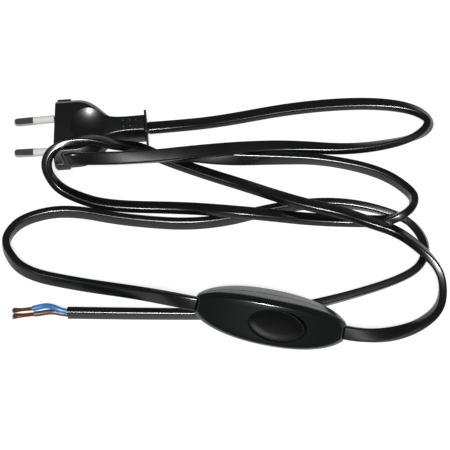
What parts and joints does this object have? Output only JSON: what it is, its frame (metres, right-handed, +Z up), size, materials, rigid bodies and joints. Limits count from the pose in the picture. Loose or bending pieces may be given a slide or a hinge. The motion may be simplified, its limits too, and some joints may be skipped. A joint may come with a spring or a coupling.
{
  "type": "power cord with inline switch",
  "caption": "Black flat mains lead with a moulded two-pin plug, an inline rocker switch and a stripped end with blue and brown cores, laid in loose overlapping loops",
  "frame": {"origin": "on the surface that it lies on, under the middle of the box round the plug and the switch", "axes": "+Z up from that surface, +X along the long side of the heap of loops, from the pins' side to the switch's side, +Y away from the switch towards the plug"},
  "size_m": [0.2045, 0.1376, 0.0292],
  "materials": {
    "grip": "black moulded PVC with a soft satin sheen",
    "sheath": "black PVC sheath, satin, smooth",
    "bridge": "ivory moulded carrier",
    "pin": "nickel-plated brass, turned",
    "sleeve": "light grey moulded insulation",
    "core_blue": "blue PVC insulation",
    "core_brown": "brown PVC insulation",
    "copper": "bare stranded copper",
    "cover": "charcoal moulded plastic, fine matt grain",
    "base": "charcoal moulded plastic, fine matt grain",
    "rocker": "black moulded plastic, satin gloss",
    "plunger": "white acetal",
    "spring_steel": "drawn spring wire",
    "contact_brass": "stamped brass",
    "screw_steel": "zinc-plated steel",
    "clamp_fibre": "moulded clamp bar"
  },
  "bodies": {
    "lead": {"plug_body": "grip", "pin_bridge": "bridge", "plug_pin_far": "pin", "plug_pin_near": "pin", "pin_sleeve_far": "sleeve", "pin_sleeve_near": "sleeve", "sheath_end_plug": "sheath", "core_blue_plug": "core_blue", "core_brown_plug": "core_brown", "cord_plug_to_switch": "sheath", "cord_switch_to_end": "sheath", "blue_core_end": "core_blue", "brown_core_end": "core_brown", "blue_strands": "copper", "brown_strands": "copper", "switch_cover": "cover", "switch_base": "base", "contact_in": "contact_brass", "contact_out": "contact_brass", "neutral_link": "contact_brass", "terminal_screws": "screw_steel", "clamp_screws": "screw_steel", "case_screws": "screw_steel", "cord_clamp_in": "clamp_fibre", "cord_clamp_out": "clamp_fibre", "sheath_end_in": "sheath", "sheath_end_out": "sheath", "core_blue_in": "core_blue", "core_blue_out": "core_blue", "core_brown_in": "core_brown", "core_brown_out": "core_brown"},
    "rocker": {"rocker": "rocker", "plunger": "plunger", "plunger_spring": "spring_steel"},
    "seesaw": {"seesaw_contact": "contact_brass"}
  },
  "joints": [
    {"name": "rocker_tilt", "type": "hinge", "parent": "lead", "child": "rocker", "pos_m": [0.04661, -0.05553, 0.01888], "axis": [0.1888, 0.7454, 0.6393], "range_deg": [0, 18]},
    {"name": "seesaw_tilt", "type": "hinge", "parent": "lead", "child": "seesaw", "pos_m": [0.04681, -0.05003, 0.0124], "axis": [0.1888, 0.7454, 0.6393], "range_deg": [-16, 0]}
  ],
  "couplings": [
    {"joint": "seesaw_tilt", "follows": "rocker_tilt", "ratio": -0.88889}
  ]
}
